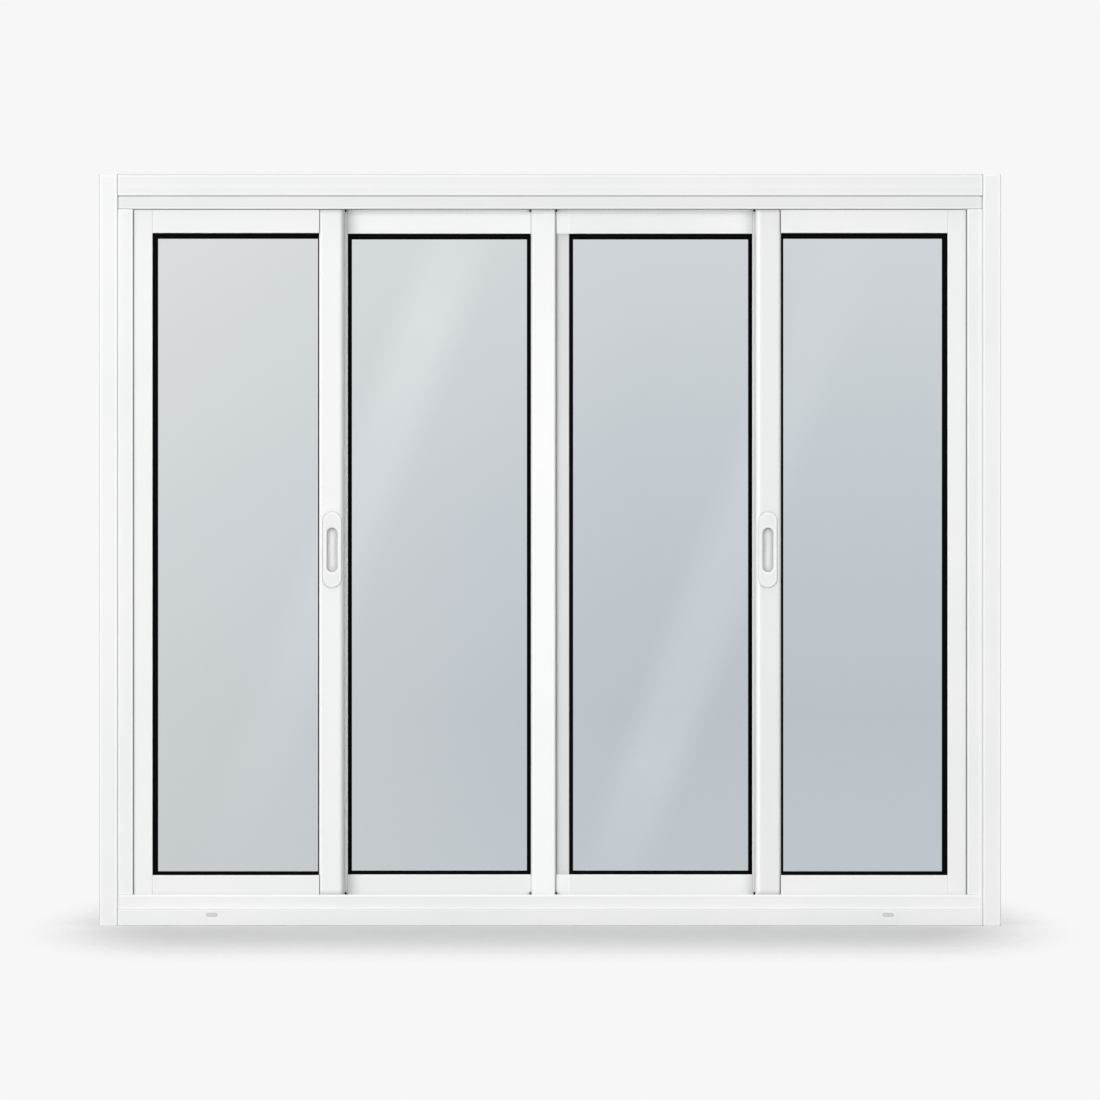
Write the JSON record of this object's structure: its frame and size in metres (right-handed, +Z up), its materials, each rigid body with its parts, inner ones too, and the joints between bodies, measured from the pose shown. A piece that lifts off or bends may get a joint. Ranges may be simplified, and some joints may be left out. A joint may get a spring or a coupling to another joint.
{
  "type": "horizontal sliding window",
  "caption": "White powder-coated aluminium window whose glazed sashes slide sideways in two tracks, with flush finger pulls and weep slots in the sill.",
  "frame": {"origin": "middle of the sill's underside, on the floor or opening it stands on", "axes": "+X to the right seen from the front, +Y from the front to the back, +Z up; the front is the side with the finger pulls and weep slots"},
  "size_m": [1.2, 0.08, 1],
  "materials": {
    "powder_coated_aluminium": "white powder coat, satin",
    "float_glass": "clear float glass, polished",
    "epdm_rubber": "black extruded rubber, matt",
    "nylon": "moulded black nylon",
    "moulded_plastic": "moulded light grey plastic"
  },
  "bodies": {
    "root": {"head": "powder_coated_aluminium", "sill": "powder_coated_aluminium", "left_jamb": "powder_coated_aluminium", "right_jamb": "powder_coated_aluminium", "left_weep_cover": "moulded_plastic", "right_weep_cover": "moulded_plastic", "front_track_rollers": "nylon", "back_track_rollers": "nylon", "sash_1_outer_stile": "powder_coated_aluminium", "sash_1_interlock_stile": "powder_coated_aluminium", "sash_1_top_rail": "powder_coated_aluminium", "sash_1_bottom_rail": "powder_coated_aluminium", "sash_1_glass": "float_glass", "sash_1_gasket": "epdm_rubber", "sash_1_top_guides": "nylon", "sash_1_flush_pull": "powder_coated_aluminium", "sash_2_meeting_stile": "powder_coated_aluminium", "sash_2_interlock_stile": "powder_coated_aluminium", "sash_2_top_rail": "powder_coated_aluminium", "sash_2_bottom_rail": "powder_coated_aluminium", "sash_2_glass": "float_glass", "sash_2_gasket": "epdm_rubber", "sash_2_top_guides": "nylon", "sash_3_meeting_stile": "powder_coated_aluminium", "sash_3_interlock_stile": "powder_coated_aluminium", "sash_3_top_rail": "powder_coated_aluminium", "sash_3_bottom_rail": "powder_coated_aluminium", "sash_3_glass": "float_glass", "sash_3_gasket": "epdm_rubber", "sash_3_top_guides": "nylon", "sash_4_outer_stile": "powder_coated_aluminium", "sash_4_interlock_stile": "powder_coated_aluminium", "sash_4_top_rail": "powder_coated_aluminium", "sash_4_bottom_rail": "powder_coated_aluminium", "sash_4_glass": "float_glass", "sash_4_gasket": "epdm_rubber", "sash_4_top_guides": "nylon", "sash_4_flush_pull": "powder_coated_aluminium"}
  },
  "joints": []
}
